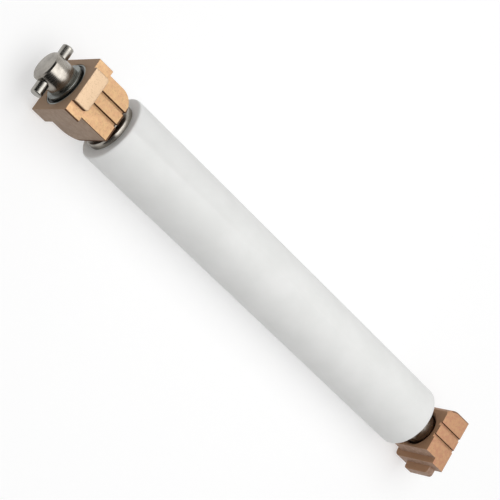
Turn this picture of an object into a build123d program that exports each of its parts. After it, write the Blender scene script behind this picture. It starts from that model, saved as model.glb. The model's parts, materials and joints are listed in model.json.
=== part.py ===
from build123d import *
import os

os.makedirs("parts", exist_ok=True)

# A platen roller: a white rubber sleeve on a turned steel shaft that runs in a ball bearing at
# each end. Each bearing sits in a sintered bronze block. Millimetres, X along the roller axis
# from the drive end to the idle end, Z up. X = 0 is the outer face of the drive block.

# Shaft and sleeve
journal_radius = 4.0
core_radius = 6.5
core_overhang = 1.5
core_chamfer = 0.3
sleeve_thickness = 2.65
sleeve_length = 123.0
sleeve_edge = 0.5
shoulder_height = 0.6
drive_stub_length = 7.0
idle_stub_length = 1.5
stub_chamfer = 0.4

# Cross pin through the drive stub
pin_radius = 1.5
pin_length = 14.0
pin_edge = 0.4
pin_inset = 2.3

# Ball bearings
bearing_section = 2.0
bearing_width = 3.5
bearing_recess = 0.05
bearing_corner = 0.15
ball_radius = 0.6
ball_count = 12
land_gap = 0.45
shield_step = 0.2
shield_thickness = 0.2
shield_recess = 0.25
cage_half_thickness = 0.27
cage_rim = 0.25

# Circlips that hold the inner rings on the shaft
clip_thickness = 0.8
clip_groove_depth = 0.35
clip_width = 1.4
lug_radius = 0.9
lug_hole_radius = 0.4
lug_angle = 22.0
clip_opening_angle = 12.0
clip_opening_direction = -69.0

# Idle end pieces on the shaft
shim_thickness = 0.5
shim_width = 2.0

# Drive block
flange_wall = 1.49
flange_depth = 4.5
body_wall = 1.15
drive_body_depth = 8.7
body_rounding = 4.2
pad_width = 9.6
pad_height = 1.3
pad_corner = 0.9
pad_rounding = 0.35
groove_width = 0.9
groove_depth = 0.9
groove_spacing = 3.6
block_edge = 0.25

# Idle block
idle_body_depth = 4.1
idle_flange_depth = 4.8
idle_flange_margin = 0.3
idle_flare_margin = 0.6
idle_flare_chamfer = 0.5
idle_body_rise = 1.6
idle_corner = 1.6
idle_rim_rounding = 0.6
idle_mouth_chamfer = 0.8
idle_groove_depth = 0.7
idle_groove_spacing = 3.7
idle_groove_shift = 0.5
tab_width = 9.0
tab_reach = 2.15
tab_depth = 2.4
tab_corner = 0.9

# Room along the axis
drive_gap = 1.3
idle_gap = 4.1

# Clearances
push_fit = 0.01
ball_clearance = 0.02
pocket_clearance = 0.05
side_clearance = 0.03
shield_clearance = 0.07
bore_clearance = 0.4

# Radii that follow from the sizes above
sleeve_radius = core_radius + sleeve_thickness
shoulder_radius = journal_radius + shoulder_height
bearing_radius = journal_radius + push_fit + bearing_section
pitch_radius = journal_radius + push_fit + bearing_section / 2
race_radius = ball_radius + ball_clearance
seat_radius = bearing_radius + push_fit
bore_radius = shoulder_radius + bore_clearance

# Places along the axis
body_start = flange_depth
drive_rear = flange_depth + drive_body_depth
core_start = drive_rear + drive_gap
sleeve_start = core_start + core_overhang
sleeve_end = sleeve_start + sleeve_length
core_end = sleeve_end + core_overhang
idle_inner = core_end + idle_gap
idle_flange = idle_inner + idle_body_depth
idle_outer = idle_flange + idle_flange_depth
shaft_end = idle_outer + idle_stub_length
drive_bearing_start = bearing_recess
drive_bearing_end = drive_bearing_start + bearing_width
idle_bearing_end = idle_outer - bearing_recess
idle_bearing_start = idle_bearing_end - bearing_width
drive_clip_start = drive_bearing_start - side_clearance - clip_thickness
idle_clip_start = idle_bearing_end + side_clearance

# Block outlines, across Y and up Z
flange_half = seat_radius + flange_wall
body_half = bore_radius + body_wall
idle_half = flange_half + idle_flange_margin
flare_half = flange_half + idle_flare_margin


def write(piece, label):
    piece.part.label = label
    export_step(piece.part, f"parts/{label}.step")


# Turned shaft with the core in one piece
with BuildPart() as roller_shaft:
    with BuildSketch(Plane.XZ) as shaft_half:
        with BuildLine():
            Polyline(
                (-drive_stub_length, 0),
                (-drive_stub_length, journal_radius),
                (drive_bearing_end, journal_radius),
                (drive_bearing_end, shoulder_radius),
                (core_start, shoulder_radius),
                (core_start, core_radius),
                (core_end, core_radius),
                (core_end, journal_radius),
                (shaft_end, journal_radius),
                (shaft_end, 0),
                close=True,
            )
        make_face()
        chamfer(shaft_half.vertices().group_by(Axis.X)[0].sort_by(Axis.Y)[-1], stub_chamfer)
        chamfer(shaft_half.vertices().group_by(Axis.X)[-1].sort_by(Axis.Y)[-1], stub_chamfer)
        chamfer(shaft_half.vertices().group_by(Axis.Y)[-1], core_chamfer)
        clip_groove_width = clip_thickness + 2 * side_clearance
        for clip_start in (drive_clip_start, idle_clip_start):
            with Locations((clip_start - side_clearance, journal_radius - clip_groove_depth)):
                Rectangle(
                    clip_groove_width,
                    clip_groove_depth + 2 * push_fit,
                    align=(Align.MIN, Align.MIN),
                    mode=Mode.SUBTRACT,
                )
    revolve(axis=Axis.X)
    with BuildSketch(Plane.XZ):
        with Locations((pin_inset - drive_stub_length, 0)):
            Circle(pin_radius + push_fit)
    extrude(amount=pin_length, both=True, mode=Mode.SUBTRACT)
write(roller_shaft, "roller_shaft")

# Rubber sleeve bonded to the core
with BuildPart() as roller_sleeve:
    with BuildSketch(Plane.YZ.offset(sleeve_start)):
        Circle(sleeve_radius)
        Circle(core_radius, mode=Mode.SUBTRACT)
    extrude(amount=sleeve_length)
    rims = roller_sleeve.edges().filter_by(GeomType.CIRCLE).sort_by(SortBy.RADIUS)[-2:]
    fillet(rims, sleeve_edge)
write(roller_sleeve, "roller_sleeve")

# Cross pin
with BuildPart() as cross_pin:
    with BuildSketch(Plane.XZ.offset(-pin_length / 2)):
        with Locations((pin_inset - drive_stub_length, 0)):
            Circle(pin_radius)
    extrude(amount=pin_length)
    fillet(cross_pin.edges().filter_by(GeomType.CIRCLE), pin_edge)
write(cross_pin, "cross_pin")


def bearing_ring(start, inside):
    # One ring in half section. The race is cut on the side that faces the balls.
    centre = start + bearing_width / 2
    end = start + bearing_width
    step = shield_recess + shield_thickness
    with BuildPart() as ring:
        with BuildSketch(Plane.XZ) as section:
            with BuildLine():
                if inside:
                    Polyline(
                        (start, journal_radius + push_fit),
                        (start, pitch_radius - land_gap),
                        (end, pitch_radius - land_gap),
                        (end, journal_radius + push_fit),
                        close=True,
                    )
                else:
                    Polyline(
                        (start, bearing_radius),
                        (start, pitch_radius + land_gap + shield_step),
                        (start + step, pitch_radius + land_gap + shield_step),
                        (start + step, pitch_radius + land_gap),
                        (end - step, pitch_radius + land_gap),
                        (end - step, pitch_radius + land_gap + shield_step),
                        (end, pitch_radius + land_gap + shield_step),
                        (end, bearing_radius),
                        close=True,
                    )
            make_face()
            seat_corners = section.vertices().group_by(Axis.Y)[0 if inside else -1]
            chamfer(seat_corners, bearing_corner)
            with Locations((centre, pitch_radius)):
                Circle(race_radius, mode=Mode.SUBTRACT)
        revolve(axis=Axis.X)
    return ring


def bearing_balls(start):
    with BuildPart(Plane.YZ.offset(start + bearing_width / 2)) as balls:
        with PolarLocations(pitch_radius, ball_count):
            Sphere(ball_radius)
    return balls


def bearing_cage(start):
    # A ring between the lands, drilled radially for the balls
    pocket_radius = ball_radius + pocket_clearance
    with BuildPart(Plane.YZ.offset(start + bearing_width / 2)) as cage:
        with BuildSketch(Plane.YZ.offset(start + bearing_width / 2)):
            Circle(pitch_radius + cage_half_thickness)
            Circle(pitch_radius - cage_half_thickness, mode=Mode.SUBTRACT)
        extrude(amount=pocket_radius + cage_rim, both=True)
        with PolarLocations(pitch_radius, ball_count):
            Cylinder(pocket_radius, 4 * cage_half_thickness, rotation=(0, 90, 0), mode=Mode.SUBTRACT)
    return cage


def bearing_shield(start):
    with BuildPart() as shield:
        with BuildSketch(Plane.YZ.offset(start)):
            Circle(pitch_radius + land_gap + shield_step)
            Circle(pitch_radius - land_gap + shield_clearance, mode=Mode.SUBTRACT)
        extrude(amount=shield_thickness)
    return shield


# Both bearings, each of two rings, the balls in their cage and two shields
for end_name, start in (("drive", drive_bearing_start), ("idle", idle_bearing_start)):
    low_shield = start + shield_recess
    high_shield = start + bearing_width - shield_recess - shield_thickness
    outward, inward = (low_shield, high_shield) if end_name == "drive" else (high_shield, low_shield)
    write(bearing_ring(start, inside=False), f"{end_name}_bearing_outer_ring")
    write(bearing_ring(start, inside=True), f"{end_name}_bearing_inner_ring")
    write(bearing_balls(start), f"{end_name}_bearing_balls")
    write(bearing_cage(start), f"{end_name}_bearing_cage")
    write(bearing_shield(outward), f"{end_name}_bearing_outer_shield")
    write(bearing_shield(inward), f"{end_name}_bearing_inner_shield")


def circlip(start):
    # An open ring with a drilled lug on each side of the opening
    inner_radius = journal_radius - clip_groove_depth + push_fit
    outer_radius = inner_radius + clip_width
    lug_centre = inner_radius + lug_radius + push_fit
    with BuildPart() as clip:
        with BuildSketch(Plane.YZ.offset(start)):
            Circle(outer_radius)
            with PolarLocations(
                lug_centre, 2, clip_opening_direction - lug_angle, 2 * lug_angle, endpoint=True
            ):
                Circle(lug_radius)
            Circle(inner_radius, mode=Mode.SUBTRACT)
            with PolarLocations(
                lug_centre, 2, clip_opening_direction - lug_angle, 2 * lug_angle, endpoint=True
            ):
                Circle(lug_hole_radius, mode=Mode.SUBTRACT)
            with BuildLine():
                low = clip_opening_direction - clip_opening_angle
                high = clip_opening_direction + clip_opening_angle
                reach = 2 * outer_radius
                Polyline(
                    (0, 0),
                    PolarLine((0, 0), reach, low, mode=Mode.PRIVATE) @ 1,
                    PolarLine((0, 0), reach, high, mode=Mode.PRIVATE) @ 1,
                    close=True,
                )
            make_face(mode=Mode.SUBTRACT)
        extrude(amount=clip_thickness)
    return clip


write(circlip(drive_clip_start), "drive_circlip")
write(circlip(idle_clip_start), "idle_circlip")

# Shim between the core and the spacer
with BuildPart() as idle_shim:
    with BuildSketch(Plane.YZ.offset(core_end)):
        Circle(journal_radius + shim_width)
        Circle(journal_radius + push_fit, mode=Mode.SUBTRACT)
    extrude(amount=shim_thickness)
write(idle_shim, "idle_shim")

# Spacer that keeps the idle bearing off the core
spacer_start = core_end + shim_thickness
with BuildPart() as idle_spacer:
    with BuildSketch(Plane.YZ.offset(spacer_start)):
        Circle(shoulder_radius)
        Circle(journal_radius + push_fit, mode=Mode.SUBTRACT)
    extrude(amount=idle_bearing_start - spacer_start)
write(idle_spacer, "idle_spacer")

# Drive block: square flange outside, narrower body behind it with two rounded rear edges
with BuildPart() as drive_block:
    with BuildSketch(Plane.YZ):
        Rectangle(2 * flange_half, 2 * flange_half)
    extrude(amount=flange_depth)
    with BuildSketch(Plane.YZ.offset(body_start)):
        Rectangle(2 * body_half, 2 * flange_half)
    extrude(amount=drive_body_depth)
    rear_edges = drive_block.faces().sort_by(Axis.X)[-1].edges()
    fillet([rear_edges.sort_by(Axis.Y)[-1], rear_edges.sort_by(Axis.Z)[0]], body_rounding)
    with BuildSketch(Plane.XY.offset(flange_half)) as pad_outline:
        with Locations((flange_depth / 2, 0)):
            Rectangle(flange_depth, pad_width)
        fillet(pad_outline.vertices().group_by(Axis.X)[-1], pad_corner)
    extrude(amount=pad_height)
    pad_edges = drive_block.faces().sort_by(Axis.Z)[-1].edges()
    fillet(pad_edges.filter_by(lambda edge: edge.center().X > push_fit), pad_rounding)
    with BuildSketch(Plane.YZ.offset(body_start)):
        with Locations((-groove_spacing / 2, flange_half), (groove_spacing / 2, flange_half)):
            Rectangle(groove_width, 2 * groove_depth)
    extrude(amount=drive_body_depth, mode=Mode.SUBTRACT)
    long_edges = drive_block.edges().filter_by(Axis.X)
    chamfer(long_edges.filter_by(lambda edge: abs(edge.center().Y) > body_half + push_fit), block_edge)
    with BuildSketch(Plane.YZ):
        Circle(seat_radius)
    extrude(amount=drive_bearing_end, mode=Mode.SUBTRACT)
    with BuildSketch(Plane.YZ):
        Circle(bore_radius)
    extrude(amount=drive_rear, mode=Mode.SUBTRACT)
write(drive_block, "drive_block")

# Idle block: low body towards the roller, flared into a wider flange with a tab on one side
with BuildPart() as idle_block:
    with BuildSketch(Plane.YZ.offset(idle_inner)):
        with BuildLine():
            Polyline(
                (-body_half, idle_body_rise - flange_half),
                (body_half, idle_body_rise - flange_half),
                (body_half, flange_half),
                (-body_half, flange_half),
                close=True,
            )
        make_face()
    extrude(amount=idle_body_depth)
    with BuildSketch(Plane.YZ.offset(idle_flange)) as flange_outline:
        with Locations(((flare_half - idle_half) / 2, -idle_flange_margin / 2)):
            Rectangle(idle_half + flare_half, 2 * flange_half + idle_flange_margin)
        fillet(flange_outline.vertices().sort_by(Axis.X)[:2].sort_by(Axis.Y)[0], idle_corner)
    extrude(amount=idle_flange_depth)
    with BuildSketch(Plane.XY.offset(idle_body_rise - flange_half)):
        with BuildLine():
            flare = TangentArc((idle_flange, flare_half), (idle_inner, body_half), tangent=(-1, 0))
            Polyline(flare @ 1, (idle_inner, 0), (idle_flange, 0), flare @ 0)
        make_face()
    extrude(amount=2 * flange_half - idle_body_rise)
    top_edges = idle_block.faces().sort_by(Axis.Z)[-1].edges()
    chamfer(top_edges.filter_by(lambda edge: edge.center().Y > body_half + push_fit), idle_flare_chamfer)
    outer_edges = idle_block.faces().sort_by(Axis.X)[-1].edges().filter_by(Axis.Y)
    fillet(outer_edges.sort_by(Axis.Z)[-1], idle_rim_rounding)
    with BuildSketch(Plane.YZ.offset(idle_outer - tab_depth)) as tab_outline:
        with Locations((-idle_half - tab_reach / 2, 0)):
            Rectangle(tab_reach, tab_width)
        fillet(tab_outline.vertices().group_by(Axis.X)[0], tab_corner)
    extrude(amount=tab_depth)
    with BuildSketch(Plane.YZ.offset(idle_inner)):
        with Locations((idle_groove_shift, flange_half)):
            with Locations((-idle_groove_spacing / 2, 0), (idle_groove_spacing / 2, 0)):
                Rectangle(groove_width, 2 * idle_groove_depth)
    extrude(amount=idle_outer - idle_inner, mode=Mode.SUBTRACT)
    with BuildSketch(Plane.YZ.offset(idle_inner)):
        Circle(bore_radius)
    extrude(amount=idle_outer - idle_inner, mode=Mode.SUBTRACT)
    chamfer(
        idle_block.edges().filter_by(GeomType.CIRCLE).group_by(Axis.X)[0],
        idle_mouth_chamfer,
    )
    with BuildSketch(Plane.YZ.offset(idle_bearing_start)):
        Circle(seat_radius)
    extrude(amount=idle_outer - idle_bearing_start, mode=Mode.SUBTRACT)
write(idle_block, "idle_block")
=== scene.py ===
import json
import math

import bpy
from mathutils import Matrix, Vector


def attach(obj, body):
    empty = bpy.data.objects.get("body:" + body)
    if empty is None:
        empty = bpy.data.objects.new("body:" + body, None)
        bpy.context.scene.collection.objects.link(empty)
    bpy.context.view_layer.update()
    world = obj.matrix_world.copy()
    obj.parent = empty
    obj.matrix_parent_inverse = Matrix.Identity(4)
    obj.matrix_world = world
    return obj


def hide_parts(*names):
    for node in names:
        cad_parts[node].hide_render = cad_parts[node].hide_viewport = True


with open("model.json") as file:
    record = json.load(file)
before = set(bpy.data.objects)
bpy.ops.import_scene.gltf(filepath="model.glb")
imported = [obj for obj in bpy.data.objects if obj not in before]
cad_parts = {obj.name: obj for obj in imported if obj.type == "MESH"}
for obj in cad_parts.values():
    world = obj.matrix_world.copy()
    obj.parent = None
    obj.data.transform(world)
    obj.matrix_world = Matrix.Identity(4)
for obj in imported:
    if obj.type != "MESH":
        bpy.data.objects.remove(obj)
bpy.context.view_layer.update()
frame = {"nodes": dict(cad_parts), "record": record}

mm = 0.001
scene = bpy.context.scene
nodeBody = {name: body for body, names in frame["record"]["behaviour"]["bodies"].items() for name in names}
nodeSlot = {part["node"]: part["material_slot"] for part in frame["record"]["subparts"]}


# Camera at the photograph's angle, rolled so that the roller runs from upper left to lower right
camera = {
    "place": (-159.58, -139.04, 348.51),
    "lookAt": (67.24, 2.49, 0.0),
    "rollDegrees": 96.14,
    "lens": 126.07,
    "sensor": 36.0,
}


def addCamera():
    data = bpy.data.cameras.new("photoCamera")
    data.lens = camera["lens"]
    data.sensor_width = camera["sensor"]
    data.clip_start = 1 * mm
    data.clip_end = 10.0
    cameraObject = bpy.data.objects.new("photoCamera", data)
    scene.collection.objects.link(cameraObject)
    place = Vector(camera["place"]) * mm
    view = Vector(camera["lookAt"]) * mm - place
    turn = view.to_track_quat("-Z", "Y").to_matrix().to_4x4()
    roll = Matrix.Rotation(math.radians(camera["rollDegrees"]), 4, "Z")
    cameraObject.matrix_world = Matrix.Translation(place) @ turn @ roll
    scene.camera = cameraObject
    print("camera set")


addCamera()


# Node building helpers
def newMaterial(name):
    material = bpy.data.materials.new(name)
    material.use_nodes = True
    nodes = material.node_tree.nodes
    return material, material.node_tree.links, nodes, nodes["Principled BSDF"]


def objectPoint(nodes, links, scale=(1, 1, 1), turn=(0, 0, 0)):
    # object coordinates in millimetres, then stretched or turned
    where = nodes.new("ShaderNodeTexCoord")
    place = nodes.new("ShaderNodeMapping")
    place.inputs["Scale"].default_value = [1000 * s for s in scale]
    place.inputs["Rotation"].default_value = turn
    links.new(where.outputs["Object"], place.inputs["Vector"])
    return place.outputs["Vector"]


def noise(nodes, links, point, size, detail=4.0, roughness=0.55, distortion=0.0):
    texture = nodes.new("ShaderNodeTexNoise")
    texture.inputs["Scale"].default_value = 1.0 / size
    texture.inputs["Detail"].default_value = detail
    texture.inputs["Roughness"].default_value = roughness
    texture.inputs["Distortion"].default_value = distortion
    links.new(point, texture.inputs["Vector"])
    return texture.outputs["Fac"]


def ramp(nodes, links, value, stops):
    # stops: (place, colour or grey)
    node = nodes.new("ShaderNodeValToRGB")
    elements = node.color_ramp.elements
    while len(elements) < len(stops):
        elements.new(0.5)
    for element, (place, colour) in zip(elements, stops):
        grey = isinstance(colour, (int, float))
        element.position = place
        element.color = (colour, colour, colour, 1) if grey else (*colour, 1)
    links.new(value, node.inputs["Fac"])
    return node.outputs["Color"]


def mixColour(nodes, links, factor, low, high, blend="MIX"):
    node = nodes.new("ShaderNodeMix")
    node.data_type = "RGBA"
    node.blend_type = blend
    for socket, value in ((node.inputs["Factor"], factor), (node.inputs[6], low), (node.inputs[7], high)):
        if isinstance(value, bpy.types.NodeSocket):
            links.new(value, socket)
        elif isinstance(value, (int, float)):
            socket.default_value = value
        else:
            socket.default_value = (*value, 1)
    return node.outputs[2]


def maths(nodes, links, operation, first, second=0.0, clamp=False):
    node = nodes.new("ShaderNodeMath")
    node.operation = operation
    node.use_clamp = clamp
    for socket, value in zip(node.inputs, (first, second)):
        if isinstance(value, bpy.types.NodeSocket):
            links.new(value, socket)
        else:
            socket.default_value = value
    return node.outputs["Value"]


def bump(nodes, links, shader, height, distance, strength=1.0, under=None):
    node = nodes.new("ShaderNodeBump")
    node.inputs["Distance"].default_value = distance * mm
    node.inputs["Strength"].default_value = strength
    links.new(height, node.inputs["Height"])
    if under is not None:
        links.new(under, node.inputs["Normal"])
    links.new(node.outputs["Normal"], shader.inputs["Normal"])
    return node.outputs["Normal"]


# White rubber of the sleeve: matte, ground round its axis
rubber = {
    "light": (0.87, 0.872, 0.858),
    "shade": (0.83, 0.834, 0.818),
    "roughness": 0.55,
    "gloss": 0.35,
    "glow": 0.35,
    "glowDepth": 2.5,
    "lineWidth": 0.35,
    "lineDepth": 0.004,
    "grain": 0.25,
    "grainDepth": 0.006,
}


def rubberMaterial():
    material, links, nodes, shader = newMaterial("whiteRubber")
    point = objectPoint(nodes, links)
    alongAxis = objectPoint(nodes, links, scale=(1, 0.02, 0.02))
    cloud = noise(nodes, links, point, 9.0, detail=5.0)
    colour = ramp(nodes, links, cloud, [(0.35, rubber["shade"]), (0.65, rubber["light"])])
    links.new(colour, shader.inputs["Base Color"])
    shader.inputs["Roughness"].default_value = rubber["roughness"]
    shader.inputs["Specular IOR Level"].default_value = rubber["gloss"]
    shader.inputs["Subsurface Weight"].default_value = rubber["glow"]
    shader.inputs["Subsurface Radius"].default_value = (1, 1, 1)
    shader.inputs["Subsurface Scale"].default_value = rubber["glowDepth"] * mm
    lines = noise(nodes, links, alongAxis, rubber["lineWidth"], detail=3.0)
    grain = noise(nodes, links, point, rubber["grain"], detail=3.0)
    ground = bump(nodes, links, shader, lines, rubber["lineDepth"])
    bump(nodes, links, shader, grain, rubber["grainDepth"], under=ground)
    return material


# Turned and ground steel: bright, with fine rings round the axis and a few stains
steel = {
    "light": (0.37, 0.345, 0.305),
    "dark": (0.235, 0.215, 0.19),
    "ringWidth": 0.12,
    "ringDepth": 0.003,
}


def steelMaterial(name, tint, roughness, alongAxis=(1, 0.03, 0.03), ringDepth=steel["ringDepth"]):
    material, links, nodes, shader = newMaterial(name)
    point = objectPoint(nodes, links)
    ringPoint = objectPoint(nodes, links, scale=alongAxis)
    rings = noise(nodes, links, ringPoint, steel["ringWidth"], detail=3.0)
    cloud = noise(nodes, links, point, 2.5, detail=5.0)
    light = [tint[i] * steel["light"][i] for i in range(3)]
    dark = [tint[i] * steel["dark"][i] for i in range(3)]
    colour = ramp(nodes, links, cloud, [(0.3, dark), (0.62, light)])
    links.new(colour, shader.inputs["Base Color"])
    shader.inputs["Metallic"].default_value = 1.0
    spread = ramp(nodes, links, rings, [(0.3, roughness * 0.8), (0.7, roughness * 1.25)])
    links.new(spread, shader.inputs["Roughness"])
    bump(nodes, links, shader, rings, ringDepth)
    return material


# Sintered bronze of the blocks: sandy copper tan where it is machined, grey brown on the upright faces and browner
# on the end faces, partly the as-sintered finish and partly painted shade by which way a face points, with dark
# pores and a smoother pinkish pad
bronze = {
    "pore": (0.30, 0.155, 0.08),
    # dark brown of the painted shade lines and corners
    "cornerShade": (0.13, 0.062, 0.03),
    "metal": 0.3,
    "patch": 1.1,
    "grain": 0.35,
    "poreShare": 0.35,
    "poreDepth": 0.02,
    "roughness": 0.44,
    "padRoughness": 0.34,
    "sideRoughness": 0.62,
}

# What differs from block to block; the side, sideDark and end colours are partly the as-sintered finish and partly
# painted shade. Heights and places in mm: pad from padBase up, painted shade line on the -Y side above the line
# base, painted shade line on top beyond the end line, machined top only on the +Y side of tabLine
driveBronze = {
    "golden": (0.73, 0.465, 0.23),
    "copper": (0.67, 0.38, 0.20),
    "side": (0.40, 0.295, 0.22),
    "sideDark": (0.33, 0.235, 0.17),
    "end": (0.37, 0.245, 0.155),
    "pad": (0.66, 0.465, 0.29),
    "padBase": 7.7,
    "shadeLineBase": 7.05,
    "farShadeLine": 12.8,
    "tabLine": -9.0,
    "edgeShade": 1.0,
    "rimShade": 0.0,
}
idleBronze = {
    "golden": (0.575, 0.32, 0.165),
    "copper": (0.52, 0.25, 0.14),
    "side": (0.47, 0.325, 0.245),
    "sideDark": (0.32, 0.20, 0.14),
    "end": (0.40, 0.225, 0.125),
    "pad": (0.66, 0.465, 0.29),
    "padBase": 20.0,
    "shadeLineBase": 20.0,
    "farShadeLine": 200.0,
    "tabLine": -7.9,
    "edgeShade": 0.0,
    "rimShade": 0.7,
}


def axisValues(nodes, links, vector):
    axes = nodes.new("ShaderNodeSeparateXYZ")
    links.new(vector, axes.inputs["Vector"])
    return axes.outputs["X"], axes.outputs["Y"], axes.outputs["Z"]


def bronzeMaterial(name, block):
    material, links, nodes, shader = newMaterial(name)
    point = objectPoint(nodes, links)
    placeX, placeY, placeZ = axisValues(nodes, links, point)
    where = nodes.new("ShaderNodeTexCoord")
    facingX, facingY, facingZ = axisValues(nodes, links, where.outputs["Normal"])
    # side is 1 on upright faces and on the tab, end is 1 on the faces across the axis; the colours they pick are
    # partly the as-sintered finish and partly painted shade
    upward = maths(nodes, links, "ABSOLUTE", facingZ)
    side = ramp(nodes, links, upward, [(0.35, 1.0), (0.75, 0.0)])
    side = maths(nodes, links, "MAXIMUM", side, maths(nodes, links, "LESS_THAN", placeY, block["tabLine"]))
    end = maths(nodes, links, "ABSOLUTE", facingX)
    pad = maths(nodes, links, "GREATER_THAN", placeZ, block["padBase"])
    patch = noise(nodes, links, point, bronze["patch"], detail=4.0)
    grain = noise(nodes, links, point, bronze["grain"], detail=5.0, roughness=0.65)
    top = ramp(nodes, links, patch, [(0.35, block["copper"]), (0.65, block["golden"])])
    top = mixColour(nodes, links, pad, top, block["pad"])
    flankFinishAndShade = ramp(nodes, links, patch, [(0.35, block["sideDark"]), (0.65, block["side"])])
    flankFinishAndShade = mixColour(nodes, links, end, flankFinishAndShade, block["end"])
    base = mixColour(nodes, links, side, top, flankFinishAndShade)
    speck = ramp(nodes, links, grain, [(0.36, bronze["poreShare"]), (0.46, 0.0)])
    base = mixColour(nodes, links, speck, base, bronze["pore"])
    # painted shade lines under the top's edges on the -Y side and across the far end of the top, and the marked
    # corners, which are painted shade too
    shadeUnderEdge = maths(nodes, links, "GREATER_THAN", placeZ, block["shadeLineBase"])
    shadeUnderEdge = maths(nodes, links, "MULTIPLY", shadeUnderEdge, maths(nodes, links, "LESS_THAN", facingY, -0.5))
    shadeUnderEdge = maths(nodes, links, "SUBTRACT", shadeUnderEdge, pad, clamp=True)
    lines = maths(nodes, links, "MAXIMUM", shadeUnderEdge, maths(nodes, links, "GREATER_THAN", placeX, block["farShadeLine"]))
    cornerShade = nodes.new("ShaderNodeAttribute")
    cornerShade.attribute_name = "paintedShadeCorner"
    lines = maths(nodes, links, "MAXIMUM", lines, cornerShade.outputs["Fac"])
    links.new(mixColour(nodes, links, lines, base, bronze["cornerShade"]), shader.inputs["Base Color"])
    shader.inputs["Metallic"].default_value = bronze["metal"]
    spread = ramp(nodes, links, pad, [(0.0, bronze["roughness"]), (1.0, bronze["padRoughness"])])
    spread = mixColour(nodes, links, side, spread, (bronze["sideRoughness"],) * 3)
    links.new(mixColour(nodes, links, lines, spread, (0.8, 0.8, 0.8)), shader.inputs["Roughness"])
    pores = ramp(nodes, links, grain, [(0.34, 0.0), (0.48, 1.0)])
    bump(nodes, links, shader, pores, bronze["poreDepth"])
    return material


def shieldMaterial():
    material, links, nodes, shader = newMaterial("darkShield")
    point = objectPoint(nodes, links)
    cloud = noise(nodes, links, point, 0.8, detail=4.0)
    colour = ramp(nodes, links, cloud, [(0.3, (0.012, 0.013, 0.013)), (0.7, (0.035, 0.036, 0.035))])
    links.new(colour, shader.inputs["Base Color"])
    shader.inputs["Metallic"].default_value = 0.6
    shader.inputs["Roughness"].default_value = 0.38
    bump(nodes, links, shader, cloud, 0.004)
    return material


def cageMaterial():
    material, links, nodes, shader = newMaterial("naturalNylon")
    point = objectPoint(nodes, links)
    cloud = noise(nodes, links, point, 0.9, detail=4.0)
    colour = ramp(nodes, links, cloud, [(0.3, (0.52, 0.45, 0.31)), (0.7, (0.62, 0.55, 0.40))])
    links.new(colour, shader.inputs["Base Color"])
    shader.inputs["Roughness"].default_value = 0.45
    shader.inputs["Subsurface Weight"].default_value = 0.15
    shader.inputs["Subsurface Scale"].default_value = 0.5 * mm
    bump(nodes, links, shader, cloud, 0.006)
    return material


slotMaterial = {
    "turned_steel": steelMaterial("turnedSteel", (1.0, 1.0, 1.0), 0.24),
    "ground_steel": steelMaterial("groundSteel", (1.0, 1.03, 1.06), 0.24, alongAxis=(0.03, 1, 0.03)),
    "ring_steel": steelMaterial("ringSteel", (0.86, 0.98, 1.04), 0.3),
    "clip_steel": steelMaterial("clipSteel", (0.74, 0.85, 0.92), 0.28),
    "shield_steel": shieldMaterial(),
    "white_rubber": rubberMaterial(),
    "cage_polymer": cageMaterial(),
}
blockLook = {"drive_block": driveBronze, "idle_block": idleBronze}
blockMaterial = {
    "drive_block": bronzeMaterial("sinteredBronze", driveBronze),
    "idle_block": bronzeMaterial("sinteredBronzeDull", idleBronze),
}
print("materials made")


# Finished pieces: each is its CAD node merged, with its edges rounded as the real process leaves them
edgeRounding = {
    "drive_block": 0.24,
    "idle_block": 0.2,
    "roller_shaft": 0.08,
    "roller_sleeve": 0.0,
    "cross_pin": 0.0,
    "drive_circlip": 0.1,
    "idle_circlip": 0.1,
    "idle_shim": 0.06,
    "idle_spacer": 0.08,
    "drive_bearing_outer_ring": 0.0,
    "idle_bearing_outer_ring": 0.0,
    "drive_bearing_inner_ring": 0.0,
    "idle_bearing_inner_ring": 0.0,
}


# Places in mm and parts of a unit normal that tell apart the faces that get painted shade
shadeMarkPlace = {"inside": 5.0, "above": 5.5, "upward": 0.2, "forward": -0.3, "wall": 0.9, "slope": 0.6}


def markPaintedShade(piece, look):
    # painted shade on the rounded upper edges on the -Y side and the far end, on the groove walls and on the
    # sloping far rim
    marks = piece.data.attributes.new("paintedShadeCorner", "FLOAT", "FACE")
    for face in piece.data.polygons:
        x, y, z = face.normal
        place = face.center / mm
        edge = face.material_index == 1 and z > shadeMarkPlace["upward"] and x > shadeMarkPlace["forward"]
        wall = abs(y) > shadeMarkPlace["wall"] and abs(place.y) < shadeMarkPlace["inside"]
        rim = y > shadeMarkPlace["slope"] and z > shadeMarkPlace["slope"]
        mark = look["edgeShade"] if edge and place.y < shadeMarkPlace["inside"] else 0.0
        if wall and place.z > shadeMarkPlace["above"]:
            mark = 1.0
        if rim and place.y > shadeMarkPlace["inside"]:
            mark = look["rimShade"]
        marks.data[face.index].value = mark


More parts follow.
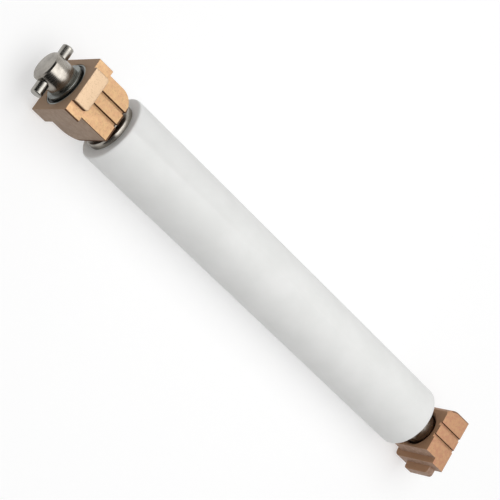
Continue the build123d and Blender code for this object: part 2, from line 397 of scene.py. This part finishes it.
def finishNode(name):
    source = frame["nodes"][name]
    piece = source.copy()
    piece.data = source.data.copy()
    piece.name = "".join([name.split("_")[0]] + [word.capitalize() for word in name.split("_")[1:]])
    piece.parent = None
    for key in list(piece.keys()):
        del piece[key]
    scene.collection.objects.link(piece)
    bpy.ops.object.select_all(action="DESELECT")
    piece.select_set(True)
    bpy.context.view_layer.objects.active = piece
    bpy.ops.object.mode_set(mode="EDIT")
    bpy.ops.mesh.select_all(action="SELECT")
    bpy.ops.mesh.remove_doubles(threshold=0.0005 * mm)
    bpy.ops.mesh.dissolve_limited(angle_limit=math.radians(0.5))
    bpy.ops.object.mode_set(mode="OBJECT")
    material = blockMaterial[name] if name in blockMaterial else slotMaterial[nodeSlot[name]]
    piece.data.materials.clear()
    piece.data.materials.append(material)
    piece.data.materials.append(material)
    if edgeRounding[name] > 0:
        rounding = piece.modifiers.new("edges", "BEVEL")
        rounding.material = 1
        rounding.width = edgeRounding[name] * mm
        rounding.segments = 3
        rounding.limit_method = "ANGLE"
        rounding.angle_limit = math.radians(35)
        rounding.use_clamp_overlap = True
        bpy.ops.object.modifier_apply(modifier="edges")
    bpy.ops.object.shade_smooth_by_angle(angle=math.radians(32))
    if name in blockLook:
        markPaintedShade(piece, blockLook[name])
    piece.data.materials.pop(index=1)
    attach(piece, nodeBody[name])
    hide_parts(name)
    return piece


finished = {name: finishNode(name) for name in edgeRounding}
for name, node in frame["nodes"].items():
    if name not in finished:
        for index in range(len(node.material_slots)):
            node.material_slots[index].material = slotMaterial[nodeSlot[name]]
print("pieces finished")


# Floor, lamps, dark cards and world
studio = {
    "floorHeight": -9.15,
    "floorSize": 1600.0,
    "floorTone": 0.5,
    "floorGlow": 0.53,
    "floorBounce": 0.85,
    "worldFill": 0.45,
    "keySize": (320.0, 500.0),
    "keyWatts": 0.98,
    "keyPlace": (80.0, 56.0, 380.0),
    "cardShade": 0.02,
    "cards": {
        "endCard": {"place": (-120.0, 0.0, 81.0), "size": (180.0, 240.0), "faces": (1, 0, 0)},
        "sideCard": {"place": (60.0, -150.0, 111.0), "size": (360.0, 240.0), "faces": (0, 1, 0)},
    },
}


def plainMaterial(name, shade, roughness=0.9):
    material, links, nodes, shader = newMaterial(name)
    shader.inputs["Base Color"].default_value = (shade, shade, shade, 1)
    shader.inputs["Roughness"].default_value = roughness
    return material, links, nodes, shader


def addFloor():
    bpy.ops.object.select_all(action="DESELECT")
    bpy.ops.mesh.primitive_plane_add(
        size=studio["floorSize"] * mm, location=(75 * mm, 0, studio["floorHeight"] * mm)
    )
    floor = bpy.context.active_object
    floor.name = "studioFloor"
    material, links, nodes, shader = plainMaterial("studioWhite", studio["floorTone"])
    seen = rayIsSeen(nodes, links)
    shade = ramp(nodes, links, seen, [(0.0, studio["floorBounce"]), (1.0, studio["floorTone"])])
    links.new(shade, shader.inputs["Base Color"])
    shader.inputs["Emission Color"].default_value = (1, 1, 1, 1)
    glow = maths(nodes, links, "MULTIPLY", seen, studio["floorGlow"])
    links.new(glow, shader.inputs["Emission Strength"])
    floor.data.materials.append(material)


def rayIsSeen(nodes, links):
    # 1 for what the camera, a reflection or glass shows, 0 for light that bounces off matte surfaces
    path = nodes.new("ShaderNodeLightPath")
    seen = maths(nodes, links, "MAXIMUM", path.outputs["Is Camera Ray"], path.outputs["Is Glossy Ray"])
    return maths(nodes, links, "MAXIMUM", seen, path.outputs["Is Transmission Ray"])


def addCard(name, card):
    bpy.ops.object.select_all(action="DESELECT")
    turn = Vector(card["faces"]).to_track_quat("Z", "Y").to_euler()
    bpy.ops.mesh.primitive_plane_add(
        size=1, location=[value * mm for value in card["place"]], rotation=turn
    )
    board = bpy.context.active_object
    board.name = name
    width, height = card["size"]
    board.scale = (width * mm, height * mm, 1)
    board.data.materials.append(plainMaterial(name, studio["cardShade"])[0])
    board.visible_camera = False
    board.visible_diffuse = False
    board.visible_shadow = False


def addLamp(name, place, size, watts):
    # a rectangular softbox that faces straight down
    data = bpy.data.lights.new(name, "AREA")
    data.shape = "RECTANGLE"
    data.size, data.size_y = (side * mm for side in size)
    data.energy = watts
    lamp = bpy.data.objects.new(name, data)
    scene.collection.objects.link(lamp)
    lamp.location = Vector(place) * mm


def addWorld():
    world = bpy.data.worlds.new("studioWorld")
    scene.world = world
    world.use_nodes = True
    nodes, links = world.node_tree.nodes, world.node_tree.links
    background = nodes["Background"]
    background.inputs["Color"].default_value = (1, 1, 1, 1)
    seen = rayIsSeen(nodes, links)
    rest = maths(nodes, links, "MULTIPLY", maths(nodes, links, "SUBTRACT", 1.0, seen), studio["worldFill"])
    links.new(maths(nodes, links, "ADD", seen, rest), background.inputs["Strength"])


addFloor()
for cardName, card in studio["cards"].items():
    addCard(cardName, card)
addLamp("keySoftbox", studio["keyPlace"], studio["keySize"], studio["keyWatts"])
addWorld()
scene.view_settings.view_transform = "Standard"
print("studio set")
